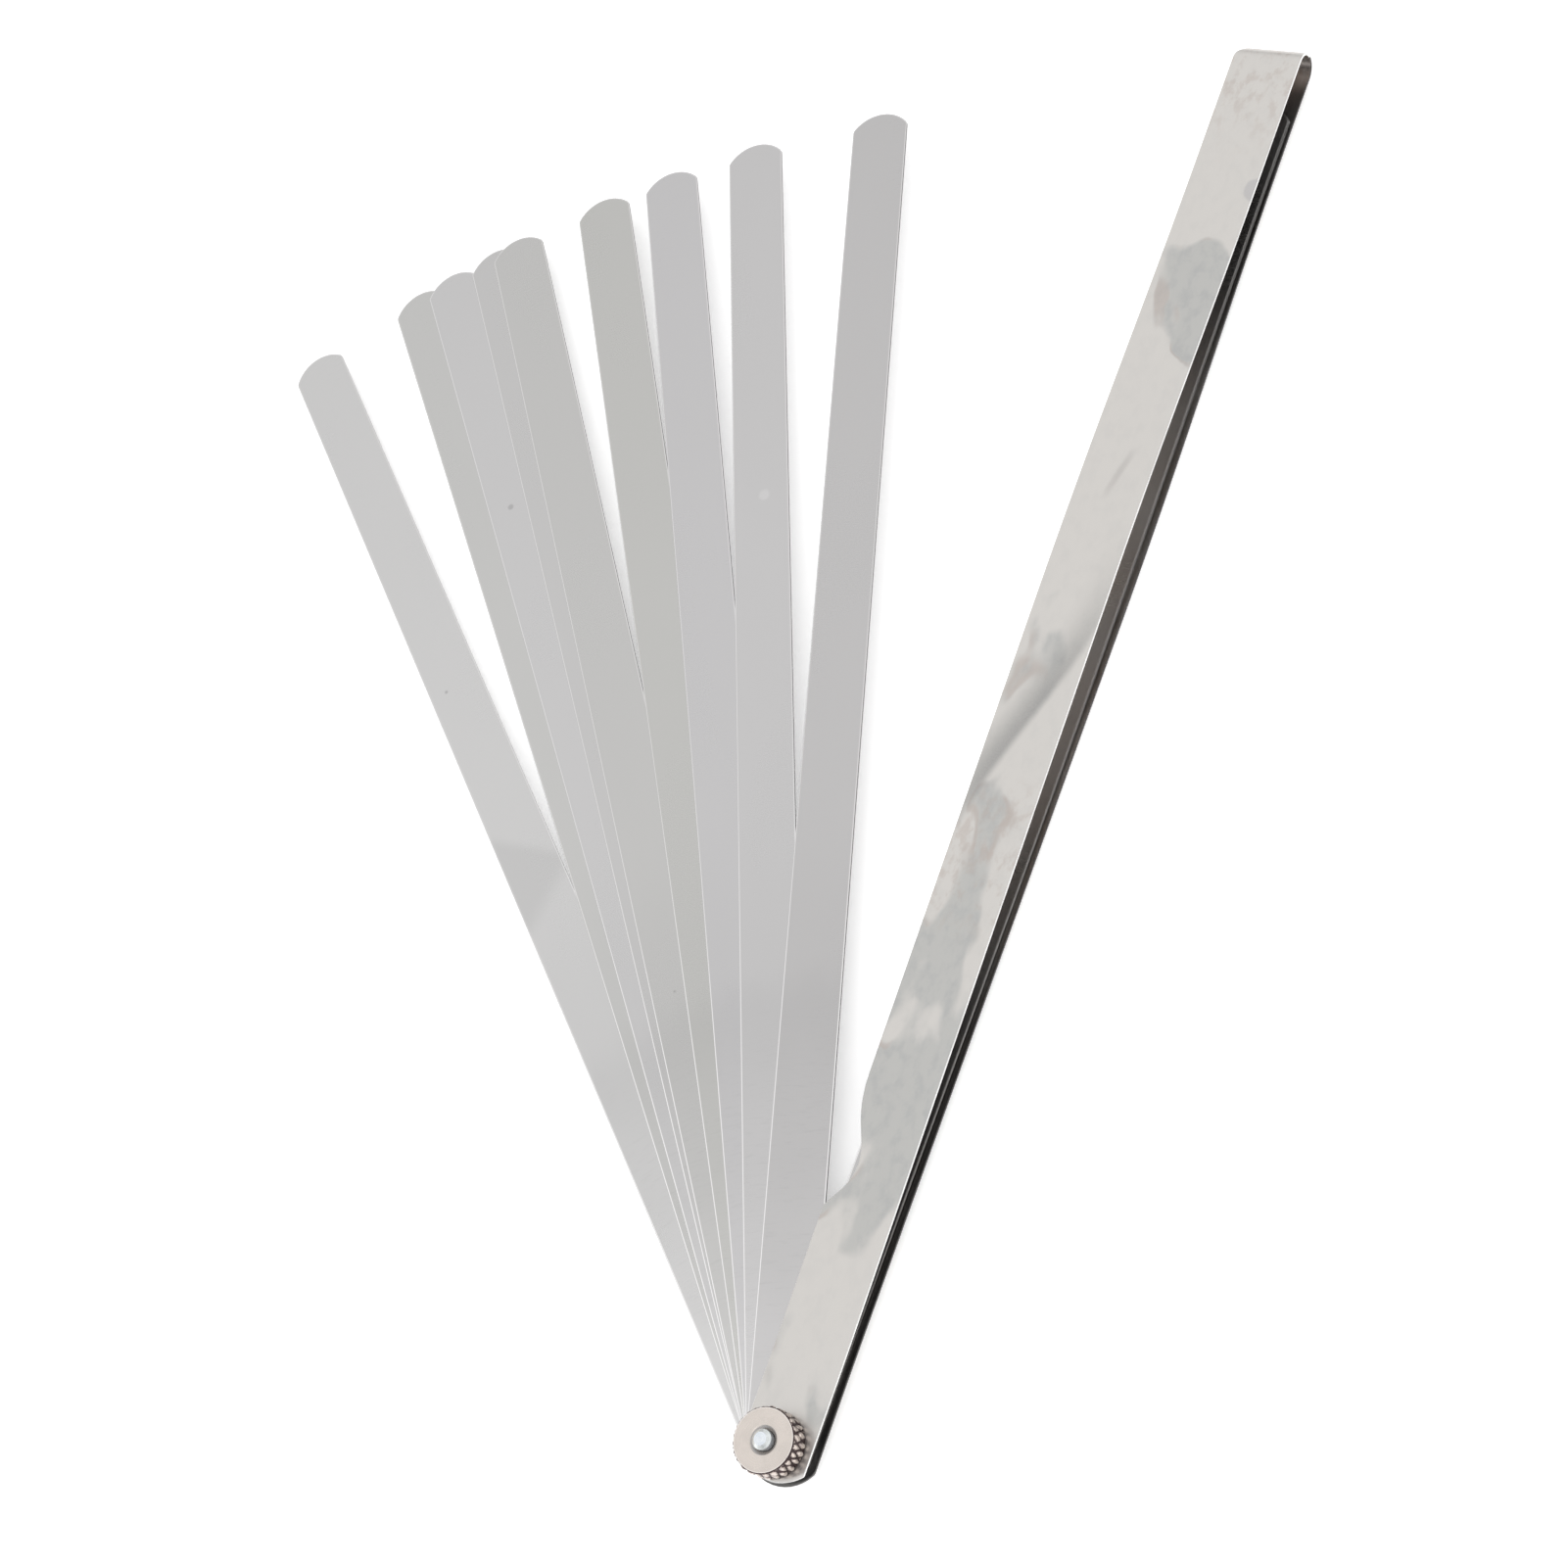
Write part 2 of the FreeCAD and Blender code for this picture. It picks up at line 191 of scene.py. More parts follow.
class Material(Nodes):
    """A metal with its patterns laid out in millimetres along a piece that is turned about Z."""

    def __init__(self, name, metallic=1.0, anisotropic=0.0, turned_deg=0.0):
        self.data = bpy.data.materials.new(name)
        self.data.use_nodes = True
        super().__init__(self.data.node_tree)
        self.surface = self.tree.nodes["Principled BSDF"]
        self.surface.inputs["Metallic"].default_value = metallic
        self.surface.inputs["Anisotropic"].default_value = anisotropic
        self.object_place = self.add("ShaderNodeMapping", {
            "Vector": self.add("ShaderNodeTexCoord", output=3),
            "Rotation": (0.0, 0.0, -math.radians(turned_deg))})
        self.place = self.stretched((1.0, 1.0, 1.0), 0.0)
        self.x, self.y, self.z = self.split(self.place)

    def stretched(self, scale, seed):
        return self.add("ShaderNodeMapping", {
            "Vector": self.object_place,
            "Scale": [factor / MM for factor in scale],
            "Location": (seed * 7.31, seed * 3.77, seed * 5.13)})

    def noise(self, scale, seed, detail=2.0, roughness=0.5, distortion=0.0):
        """Cloudy noise with so many cycles per millimetre along x, y and z."""
        return self.add("ShaderNodeTexNoise", {
            "Vector": self.stretched(scale, seed), "Scale": 1.0, "Detail": detail,
            "Roughness": roughness, "Distortion": distortion})

    def spots(self, scale, seed, size, softness):
        """Sparse round spots, 1 at their centres."""
        distance = self.add("ShaderNodeTexVoronoi", {"Vector": self.stretched((scale,) * 3, seed),
                                                     "Scale": 1.0})
        return self.step(distance, size, size + softness, 1.0, 0.0)

    def rings(self, radius, per_mm):
        """Turned rings about the Z axis."""
        return self.add("ShaderNodeTexNoise", {"W": self.calc("MULTIPLY", radius, per_mm),
                                               "Scale": 1.0, "Detail": 2.0}, noise_dimensions="1D")

    def vary(self, value, pattern, amount):
        """value times a factor about 1 that follows a pattern from 0 to 1."""
        return self.calc("MULTIPLY", value, self.linear(pattern, amount, 1.0 - amount / 2))

    def bump(self, height, depth_mm, normal=None):
        inputs = {"Height": height, "Strength": 1.0, "Distance": depth_mm * MM}
        if normal is not None:
            inputs["Normal"] = normal
        return self.add("ShaderNodeBump", inputs)

    def finish(self, colour, roughness, normal=None):
        self.feed(self.surface.inputs["Base Color"], colour)
        self.feed(self.surface.inputs["Roughness"], roughness)
        if normal is not None:
            self.feed(self.surface.inputs["Normal"], normal)
        return self.data


# ------------------------------------------------------------------ materials

# each leaf's colour; the small differences between leaves are painted light and shade for how each leaf's slight
# tilt catches the light
LEAF_COLOURS = {
    "leaf_0_10mm": (0.470, 0.466, 0.464),
    "leaf_0_15mm": (0.430, 0.427, 0.420),
    "leaf_0_20mm": (0.446, 0.441, 0.442),
    "leaf_0_25mm": (0.428, 0.423, 0.421),
    "leaf_0_30mm": (0.418, 0.414, 0.408),
    "leaf_0_35mm": (0.410, 0.407, 0.396),
    "leaf_0_40mm": (0.430, 0.424, 0.428),
    "leaf_0_45mm": (0.436, 0.430, 0.431),
    "leaf_0_50mm": (0.408, 0.401, 0.401),
}
PLAIN_LEAF_COLOUR = (0.43, 0.425, 0.42)
LEAF_MARKS = {              # x, y and radius of a stain, and how much darker it is
    "leaf_0_15mm": ((1.5, 225.0, 1.1, 0.16),),
    "leaf_0_20mm": ((-1.0, 226.0, 0.9, 0.22),),
    "leaf_0_45mm": ((0.8, 204.0, 1.6, -0.10),),
}
WEDGE_LEAF = "leaf_0_10mm"


def leaf_steel(leaf, seed, half, reach):
    """Ground spring steel: fine cross grinding, scuffs by the pivot, and along the edges a bright line, partly
    honed and partly painted highlight, with painted shade on the cut face.
    """
    m = Material("steel_" + leaf, turned_deg=rest_angle(leaf))
    clouds = m.noise((0.05, 0.02, 0.05), seed, detail=3.0)
    grinding = m.noise((0.35, 9.0, 1.0), seed + 1, detail=3.0, roughness=0.6)
    length = m.calc("DIVIDE", m.y, 300.0)
    wobble = m.linear(m.noise((0.15, 0.05, 0.1), seed + 2), 0.03, -0.015)
    along = m.profile(m.calc("ADD", length, wobble), (
        (0.0, 0.58), (0.06, 0.575), (0.13, 0.53), (0.20, 0.50), (0.29, 0.47), (0.33, 0.495),
        (0.45, 0.512), (0.62, 0.51), (0.80, 0.50), (1.0, 0.49)))
    tone = m.calc("MULTIPLY", along, 2.09)
    tone = m.vary(tone, clouds, 0.06)
    tone = m.vary(tone, grinding, 0.03)

    near_pivot = m.step(m.y, 60.0, 100.0, 1.0, 0.0)
    scuffs = m.noise((0.25, 1.6, 0.3), seed + 3, detail=4.0, roughness=0.65)
    tone = m.calc("MULTIPLY", tone, m.calc("SUBTRACT", 1.0, m.calc(
        "MULTIPLY", near_pivot, m.step(scuffs, 0.5, 0.8, 0.0, 0.07))))
    tone = m.calc("MULTIPLY", tone, m.calc("SUBTRACT", 1.0, m.calc(
        "MULTIPLY", m.spots(0.045, seed + 4, 0.012, 0.012), 0.25)))

    for x, y, radius, depth in LEAF_MARKS.get(leaf, ()):
        apart = m.flat_length(m.calc("SUBTRACT", m.x, x), m.calc("SUBTRACT", m.y, y))
        tone = m.calc("MULTIPLY", tone, m.step(apart, 0.5 * radius, radius, 1.0 - depth, 1.0))
    if leaf == WEDGE_LEAF:
        # a dull wedge across the leaf, widest at its left edge
        inset = m.calc("ADD", m.x, half)
        upper = m.calc("SUBTRACT", m.calc("SUBTRACT", 153.0, m.calc("MULTIPLY", inset, 0.9)), m.y)
        lower = m.calc("SUBTRACT", m.y, m.calc("ADD", 127.0, m.calc("MULTIPLY", inset, 0.7)))
        wedge = m.calc("MULTIPLY", m.step(upper, -1.5, 3.0), m.step(lower, -3.0, 4.0))
        tone = m.calc("MULTIPLY", tone, m.calc("SUBTRACT", 1.0, m.calc("MULTIPLY", wedge, 0.09)))
    colour = m.scaled(LEAF_COLOURS.get(leaf, PLAIN_LEAF_COLOUR), tone)

    # distance in from the side or the tip: a bright line, partly a honed edge and partly a painted highlight, and
    # painted shade on the cut face outside it
    past_tip = m.calc("MAXIMUM", m.calc("SUBTRACT", m.y, reach - LEAF_TIP_RADIUS), 0.0)
    to_centre = m.flat_length(m.x, past_tip)
    inward = m.calc("MINIMUM", m.calc("SUBTRACT", half, m.calc("ABSOLUTE", m.x)),
                    m.calc("SUBTRACT", LEAF_TIP_RADIUS, to_centre))
    # painted highlight mixed with the honed edge, strongest near the pivot
    honed_and_highlight = m.step(inward, 0.20, 0.34, 1.0, 0.0)
    honed_and_highlight = m.calc("MULTIPLY", honed_and_highlight, m.step(m.y, 60.0, 150.0, 0.85, 0.38))
    colour = m.mix(honed_and_highlight, colour, (0.80, 0.79, 0.79, 1.0))
    # painted shade on the cut face, darker on the fanned leaves than on the folded ones
    cut_face_shade = (0.34, 0.33, 0.32, 1.0) if is_folded(leaf) else (0.17, 0.165, 0.16, 1.0)
    colour = m.mix(m.step(inward, 0.02, 0.07, 1.0, 0.0), colour, cut_face_shade)
    roughness = m.vary(m.step(clouds, 0.3, 0.7, 0.27, 0.33), grinding, 0.25)
    return m.finish(colour, roughness, m.bump(grinding, 0.0025))


def dent_reflection(m, grain):
    """A painted reflection of a small dent: one soft dark band that crosses the plate in an S."""
    middle = m.step(m.y, 117.0, 182.0, -8.5, 8.6)
    away = m.calc("SUBTRACT", m.x, middle)
    across = m.calc("MULTIPLY", m.step(away, -7.5, 0.0), m.step(away, -0.4, 1.8, 1.0, 0.0))
    ends = m.calc("MULTIPLY", m.step(m.y, 112.0, 140.0), m.step(m.y, 150.0, 196.0, 1.0, 0.0))
    return m.vary(m.calc("MULTIPLY", across, ends), grain, 0.35)


def streak(m):
    """A short slanted streak beyond the painted dent reflection."""
    away = m.calc("SUBTRACT", m.x, m.step(m.y, 196.0, 212.0, -0.4, 2.6))
    ends = m.calc("MULTIPLY", m.step(m.y, 197.0, 202.0), m.step(m.y, 206.0, 211.0, 1.0, 0.0))
    return m.calc("MULTIPLY", m.step(m.calc("ABSOLUTE", away), 0.2, 1.2, 1.0, 0.0), ends)


def edge_spot(m, mottle):
    """A dull spot at the right edge, short of the fold."""
    apart = m.length(m.add("ShaderNodeVectorMath", {0: m.place, 1: (8.2, 271.0, 8.6)},
                           operation="SUBTRACT"))
    return m.step(m.calc("ADD", apart, m.calc("MULTIPLY", mottle, 1.2)), 2.9, 3.7, 1.0, 0.0)


def case_outside():
    """Polished sheet with an oil film: warm clean patches, cool dull ones, brown-edged stains."""
    m = Material("case_outside")
    length = m.calc("DIVIDE", m.y, 305.0)
    warped = m.noise((0.075, 0.040, 0.075), 4, detail=2.5, roughness=0.5, distortion=0.35)
    zones = m.profile(length, (
        (0.0, 0.54), (0.05, 0.60), (0.13, 0.59), (0.17, 0.43), (0.25, 0.38), (0.34, 0.41),
        (0.37, 0.50), (0.45, 0.56), (0.55, 0.62), (0.62, 0.68), (0.743, 0.66), (0.765, 0.47),
        (0.83, 0.46), (0.865, 0.66), (1.0, 0.64)))
    clean = m.calc("ADD", m.calc("SUBTRACT", warped, 0.5), zones)
    film = m.step(clean, 0.44, 0.54)
    mottle = m.noise((0.45, 0.30, 0.45), 9, detail=3.0, roughness=0.55)
    grain = m.noise((3.0, 3.0, 3.0), 12, detail=2.0)

    colour = m.mix(film, (0.440, 0.437, 0.424, 1.0), (0.545, 0.527, 0.505, 1.0))
    dulled = m.calc("MULTIPLY", m.step(mottle, 0.42, 0.72), m.calc("SUBTRACT", 0.42, m.calc(
        "MULTIPLY", film, 0.34)))
    colour = m.mix(dulled, colour, (0.35, 0.355, 0.36, 1.0))

    # thin brown rings where the film ends, in places only
    rim = m.calc("MULTIPLY", m.step(clean, 0.455, 0.480), m.step(clean, 0.490, 0.520, 1.0, 0.0))
    patchy = m.step(m.noise((0.10, 0.06, 0.10), 17, detail=2.0), 0.5, 0.62)
    colour = m.mix(m.calc("MULTIPLY", m.calc("MULTIPLY", rim, patchy), 0.45), colour,
                   (0.40, 0.34, 0.31, 1.0))
    # faint brown blotches by the fold and half way along
    by_fold = m.step(m.y, 274.0, 296.0)
    halfway = m.calc("MULTIPLY", m.step(m.y, 100.0, 112.0), m.step(m.y, 128.0, 140.0, 1.0, 0.0))
    blotches = m.step(m.noise((0.50, 0.30, 0.50), 23, detail=4.0, roughness=0.6), 0.46, 0.66)
    colour = m.mix(m.calc("MULTIPLY", blotches, m.calc("MULTIPLY", m.calc("ADD", by_fold, halfway),
                                                       0.42)), colour, (0.41, 0.355, 0.325, 1.0))

    # marks on the front plate only, the first a painted reflection of a dent: how much each covers, and its colour
    front = m.step(m.z, 5.0, 6.0)
    marks = ((dent_reflection(m, grain), 0.68, (0.235, 0.235, 0.232, 1.0)),
             (streak(m), 0.35, (0.34, 0.32, 0.31, 1.0)),
             (edge_spot(m, mottle), 0.5, (0.36, 0.355, 0.37, 1.0)))
    for cover, strength, stain in marks:
        cover = m.calc("MULTIPLY", m.calc("MULTIPLY", cover, front), strength)
        colour = m.mix(cover, colour, stain)

    scratches = m.step(m.noise((0.22, 5.5, 0.22), 31, detail=2.0, distortion=1.2), 0.70, 0.76)
    colour = m.mix(m.calc("MULTIPLY", scratches, 0.12), colour, (0.62, 0.61, 0.60, 1.0))
    roughness = m.vary(m.step(film, 0.0, 1.0, 0.40, 0.34), mottle, 0.2)
    waves = m.noise((0.07, 0.035, 0.07), 41, detail=1.0)
    return m.finish(colour, roughness, m.bump(grain, 0.003, m.bump(waves, 0.10)))


def case_inside():
    """The sheet's inner side: dull and brownish, with paler streaks along it, and painted shade that makes it dark
    towards both ends.
    """
    m = Material("case_inside")
    clouds = m.noise((0.10, 0.04, 0.10), 3, detail=4.0, roughness=0.6)
    rubbed = m.step(m.noise((1.4, 0.03, 1.4), 8, detail=3.0), 0.50, 0.70)
    colour = m.mix(m.step(clouds, 0.35, 0.65), (0.60, 0.565, 0.54, 1.0), (0.66, 0.58, 0.53, 1.0))
    colour = m.mix(m.calc("MULTIPLY", rubbed, 0.4), colour, (0.72, 0.70, 0.68, 1.0))
    # painted shade in the gap between the plates: far along towards the fold, and along the first half from the
    # pivot
    far = m.calc("MULTIPLY", m.step(m.y, 215.0, 262.0), m.step(m.y, 297.0, 302.0, 1.0, 0.0))
    near = m.step(m.y, 75.0, 165.0, 1.0, 0.0)
    colour = m.mix(m.calc("MULTIPLY", m.calc("ADD", far, near), 0.88), colour,
                   (0.14, 0.136, 0.136, 1.0))
    # deeper painted shade right by the pivot
    colour = m.mix(m.step(m.y, 2.0, 12.0, 0.8, 0.0), colour, (0.10, 0.10, 0.098, 1.0))
    return m.finish(colour, m.vary(m.step(clouds, 0.3, 0.7, 0.42, 0.34), rubbed, 0.2),
                    m.bump(rubbed, 0.006))


def cut_edge(name, colour, dark):
    """A sheared edge: fine lines across the sheet's thickness, nicks and dull stretches."""
    m = Material(name)
    shear = m.noise((4.0, 4.0, 0.5), 6, detail=3.0)
    dull = m.step(m.noise((0.08, 0.08, 0.08), 2, detail=3.0, roughness=0.6), 0.50, 0.66)
    shade = m.mix(m.calc("MULTIPLY", dull, 0.5), colour, dark)
    shade = m.mix(m.step(shear, 0.4, 0.8, 0.0, 0.35), shade, dark)
    return m.finish(shade, m.step(shear, 0.3, 0.7, 0.22, 0.34), m.bump(shear, 0.01))


def nut_face():
    """Turned nickel: fine rings about the bore, a few small knocks, a painted highlight on the rim and painted
    shade round the bore.
    """
    m = Material("nut_face", anisotropic=0.3)
    radius = m.flat_length(m.x, m.y)
    rings = m.rings(radius, 9.0)
    clouds = m.noise((0.35, 0.35, 0.35), 5, detail=3.0)
    colour = m.mix(m.step(clouds, 0.35, 0.65), (0.555, 0.507, 0.470, 1.0), (0.590, 0.538, 0.498, 1.0))
    colour = m.mix(m.step(rings, 0.45, 0.75, 0.0, 0.22), colour, (0.44, 0.40, 0.365, 1.0))
    colour = m.mix(m.calc("MULTIPLY", m.spots(0.6, 3, 0.05, 0.06), 0.4), colour,
                   (0.42, 0.36, 0.33, 1.0))
    # painted highlight along the rim, where the face meets the chamfer
    rim_highlight = m.step(radius, 5.98, 6.12)
    colour = m.mix(m.calc("MULTIPLY", rim_highlight, 0.8), colour, (0.86, 0.82, 0.78, 1.0))
    # painted shade round the bore, where the countersink drops away
    bore = m.step(radius, 2.2, 2.9, 1.0, 0.0)
    colour = m.mix(m.calc("MULTIPLY", bore, 0.20), colour, (0.30, 0.31, 0.30, 1.0))
    return m.finish(colour, m.step(rings, 0.3, 0.7, 0.20, 0.30), m.bump(rings, 0.006))


def nut_knurl():
    """Nickel on the knurl: bright worn crests, and painted shade, near black and brownish, down in the grooves."""
    m = Material("nut_knurl")
    radius = m.flat_length(m.x, m.y)
    knurl_noise = m.noise((0.9, 0.9, 0.9), 7, detail=4.0, roughness=0.6)
    depth = m.calc("ADD", radius, m.step(knurl_noise, 0.3, 0.7, -0.12, 0.10))
    # painted shade in the grooves, by radius: nearly black below the crests
    colour = m.mix(m.step(depth, 6.27, 6.55), (0.070, 0.046, 0.048, 1.0), (0.64, 0.56, 0.51, 1.0))
    return m.finish(colour, m.step(depth, 6.3, 6.6, 0.42, 0.16), m.bump(knurl_noise, 0.03))


def stud_zinc():
    """Bright zinc with a bluish passivated tint, turned rings on its end and a painted highlight round the end's
    edge.
    """
    m = Material("stud_zinc")
    radius = m.flat_length(m.x, m.y)
    rings = m.rings(radius, 5.0)
    clouds = m.noise((0.8, 0.8, 0.8), 2, detail=3.0)
    colour = m.mix(m.step(clouds, 0.35, 0.65), (0.62, 0.66, 0.71, 1.0), (0.68, 0.71, 0.745, 1.0))
    colour = m.mix(m.step(rings, 0.5, 0.8, 0.0, 0.4), colour, (0.36, 0.40, 0.43, 1.0))
    # painted highlight where the stud's end meets its chamfer
    rim = m.calc("MULTIPLY", m.step(radius, 1.28, 1.36), m.step(m.z, 12.9, 13.1))
    colour = m.mix(m.calc("MULTIPLY", rim, 0.8), colour, (0.80, 0.83, 0.82, 1.0))
    return m.finish(colour, m.step(rings, 0.3, 0.7, 0.16, 0.28), m.bump(rings, 0.008))


def pale_floor():
    m = Material("pale_floor", metallic=0.0)
    m.surface.inputs["Emission Color"].default_value = (1.0, 1.0, 1.0, 1.0)
    m.surface.inputs["Emission Strength"].default_value = 0.34
    fibres = m.noise((0.02, 0.02, 0.02), 1, detail=4.0)
    return m.finish(m.mix(fibres, (0.92, 0.92, 0.92, 1.0), (0.94, 0.94, 0.94, 1.0)),
                    m.step(fibres, 0.3, 0.7, 0.75, 0.85))


def make_world():
    """A white studio: brightest overhead, dark low down on the right where the tent is open."""
    world = bpy.data.worlds.new("studio")
    world.use_nodes = True
    n = Nodes(world.node_tree)
    direction = n.add("ShaderNodeTexCoord", output="Generated")
    _, _, height = n.split(direction)
    to_right = n.add("ShaderNodeVectorMath", {0: direction, 1: (0.93, -0.36, 0.0)}, output="Value",
                     operation="DOT_PRODUCT")
    overhead = n.step(height, 0.0, 0.6, 0.75, 1.22)
    opening = n.calc("MULTIPLY", n.step(to_right, 0.15, 0.8), n.step(height, 0.15, 0.55, 1.0, 0.0))
    strength = n.calc("MULTIPLY", overhead, n.calc("SUBTRACT", 1.0, n.calc(
        "MULTIPLY", opening, 0.85)))
    background = world.node_tree.nodes["Background"]
    background.inputs["Color"].default_value = (1.0, 1.0, 1.0, 1.0)
    n.feed(background.inputs["Strength"], strength)
    bpy.context.scene.world = world


# ------------------------------------------------------------------ mesh helpers

def rounded(corners, steps=14):
    """Points along a path through corners (a, b, radius), each rounded by a tangent arc."""
    points = [Vector(corners[0][:2])]
    for last, corner, following in zip(corners, corners[1:], corners[2:]):
        point, radius = Vector(corner[:2]), corner[2]
        if not radius:
            points.append(point)
            continue
        back = (Vector(last[:2]) - point).normalized()
        on = (Vector(following[:2]) - point).normalized()
        half = back.angle(on) / 2
        centre = point + (back + on).normalized() * radius / math.sin(half)
        spoke = point + back * radius / math.tan(half) - centre
        turn = math.copysign(math.pi - 2 * half, back.cross(on))
        for k in range(steps + 1):
            points.append(centre + Matrix.Rotation(-turn * k / steps, 2) @ spoke)
    points.append(Vector(corners[-1][:2]))
    return points


def interpolate(points, a):
    """Second coordinate of a path at first coordinate a, held constant past its ends."""
    if a <= points[0].x:
        return points[0].y
    for p, q in zip(points, points[1:]):
        if a <= q.x:
            return p.y + (q.y - p.y) * (a - p.x) / (q.x - p.x)
    return points[-1].y


def mesh_from(name, vertices, faces, materials, zones):
    """A mesh in metres from millimetre vertices, with a material number for each face."""
    mesh = bpy.data.meshes.new(name)
    mesh.from_pydata([Vector(v) * MM for v in vertices], [], faces)
    for material in materials:
        mesh.materials.append(material)
    mesh.polygons.foreach_set("material_index", zones)
    work = bmesh.new()
    work.from_mesh(mesh)
    bmesh.ops.recalc_face_normals(work, faces=work.faces)
    work.to_mesh(mesh)
    work.free()
    return mesh


def shade(mesh, sharp_deg):
    """Smooth shading that stays crisp over edges sharper than an angle."""
    mesh.polygons.foreach_set("use_smooth", [True] * len(mesh.polygons))
    mesh.set_sharp_from_angle(angle=math.radians(sharp_deg))


def stand_in(name, mesh, node):
    """The piece that is seen instead of a CAD node, riding on that node's body."""
    piece = add_object(name, mesh)
    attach(piece, BODY_OF[node])
    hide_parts(node)
    node_mesh = NODES[node].data
    node_mesh.materials.clear()
    node_mesh.materials.append(mesh.materials[0])


# ------------------------------------------------------------------ leaves

LEAF_TIP_RADIUS = 8.0
LEAF_CORNER_RADIUS = 1.5
STUD_HOLE_RADIUS = 2.05
SOFT_EDGE = 0.11            # rounding of cut edges, less on the thinnest leaves
SAG_START, SAG_END = 15.0, 285.0
SAG_DEPTH = 1.62


def arc(centre, radius, start_deg, end_deg, steps):
    for k in range(steps + 1):
        a = math.radians(start_deg + (end_deg - start_deg) * k / steps)
        yield centre[0] + radius * math.cos(a), centre[1] + radius * math.sin(a)


def leaf_outline(half, reach):
    """Half-round heel, straight sides and a gently rounded tip with small corners."""
    tip_centre = reach - LEAF_TIP_RADIUS
    corner_x = half - LEAF_CORNER_RADIUS
    corner_y = tip_centre + math.sqrt((LEAF_TIP_RADIUS - LEAF_CORNER_RADIUS) ** 2 - corner_x ** 2)
    lean = math.degrees(math.atan2(corner_y - tip_centre, corner_x))
    sides = int(corner_y / 6.0)
    heights = [corner_y * k / sides for k in range(1, sides)]
    outline = list(arc((0, 0), half, 180, 360, 36))
    outline += [(half, y) for y in heights]
    outline += arc((corner_x, corner_y), LEAF_CORNER_RADIUS, 0, lean, 6)
    outline += list(arc((0, tip_centre), LEAF_TIP_RADIUS, lean, 180 - lean, 20))[1:-1]
    outline += arc((-corner_x, corner_y), LEAF_CORNER_RADIUS, 180 - lean, 180, 6)
    outline += [(-half, y) for y in reversed(heights)]
    return outline


def sag(y):
    """How far the folded leaves hang down between the plates, in millimetres."""
    if not SAG_START < y < SAG_END:
        return 0.0
    return SAG_DEPTH * math.sin(math.pi * (y - SAG_START) / (SAG_END - SAG_START)) ** 2


def leaf_mesh(name, half, reach, floor, thickness, material, hangs):
    """A thin plate with softened edges, from a filled outline."""
    curve = bpy.data.curves.new(name, "CURVE")
    curve.dimensions = "2D"
    curve.fill_mode = "BOTH"
    soft = min(SOFT_EDGE, 0.3 * thickness)
    curve.bevel_depth = soft * MM
    curve.bevel_resolution = 1
    curve.offset = -soft * MM
    curve.extrude = (thickness / 2 - soft) * MM
    hole = list(arc((0, 0), STUD_HOLE_RADIUS, 360, 0, 32))[:-1]
    for ring in (leaf_outline(half, reach), hole):
        spline = curve.splines.new("POLY")
        spline.points.add(len(ring) - 1)
        for point, (x, y) in zip(spline.points, ring):
            point.co = (x * MM, y * MM, 0.0, 1.0)
        spline.use_cyclic_u = True
    drawn = add_object(name + "_outline", curve)
    mesh = bpy.data.meshes.new_from_object(drawn)
    bpy.data.objects.remove(drawn)
    mesh.name = name
    middle = floor + thickness / 2
    for vertex in mesh.vertices:
        drop = sag(vertex.co.y / MM) if hangs else 0.0
        vertex.co.z += (middle - drop) * MM
    mesh.materials.clear()
    mesh.materials.append(material)
    mesh.polygons.foreach_set("use_smooth", [False] * len(mesh.polygons))
    return mesh


def make_leaves():
    low, high = corners_of(LEAVES[0])
    half, reach = -low.y, high.y
    for number, leaf in enumerate(LEAVES):
        low, high = corners_of(leaf)
        mesh = leaf_mesh(leaf + "_plate", half, reach, low.z, high.z - low.z,
                         leaf_steel(leaf, 3.0 * number, half, reach), hangs=is_folded(leaf))
        mesh.transform(Matrix.Rotation(math.radians(rest_angle(leaf)), 4, "Z"))
        stand_in(leaf + "_plate", mesh, leaf)


# ------------------------------------------------------------------ case

SHEET = 0.5
FOLD_RADIUS = 3.5
FOLD_CORNER = 2.6           # taken off the fold's left corner
FOLD_CORNER_RADIUS = 3.0
TAIL = 12.0
BOW_START, BOW_PEAK, BOW_END = 18.0, 198.0, 262.0
BOW_PEAK_HEIGHT = 5.35
BOW_RADIUS = 1000.0
NUT_LIFT = 0.02
FRONT_END = (8.9, 2.5)      # radius and centre height of each plate's rounded tail
BACK_END = (8.6, 1.7)
BACK_END_SHIFT = 0.4
NOTCH = ((46.0, 0.0, 0.0), (54.4, 5.55, 10.0), (67.7, 0.0, 25.0), (76.0, 0.0, 0.0))
COLUMNS = 18


def plate_run(reach, pinch, side):
    """Middle of the sheet's thickness along one plate, from its tail to the fold."""
    inset = SHEET / 2
    rise = (BOW_PEAK_HEIGHT - pinch) / (BOW_PEAK - BOW_START)
    notch = [(y, pinch + rise * (y - BOW_START), 0.0) for y in (NOTCH[0][0], NOTCH[2][0])]
    corners = [(-TAIL, pinch, 0.0), (BOW_START, pinch, BOW_RADIUS), *notch,
               (BOW_PEAK, BOW_PEAK_HEIGHT, BOW_RADIUS), (BOW_END, FOLD_RADIUS, BOW_RADIUS),
               (reach - inset, FOLD_RADIUS, FOLD_RADIUS - inset)]
    return [(y, side * (z - inset), radius) for y, z, radius in corners]


def spacing(y):
    """Distance between rows of the case's mesh, closer where its outline turns."""
    if y < BOW_START:
        return 0.7
    if NOTCH[0][0] - 2 < y < NOTCH[3][0]:
        return 0.5
    return 3.0


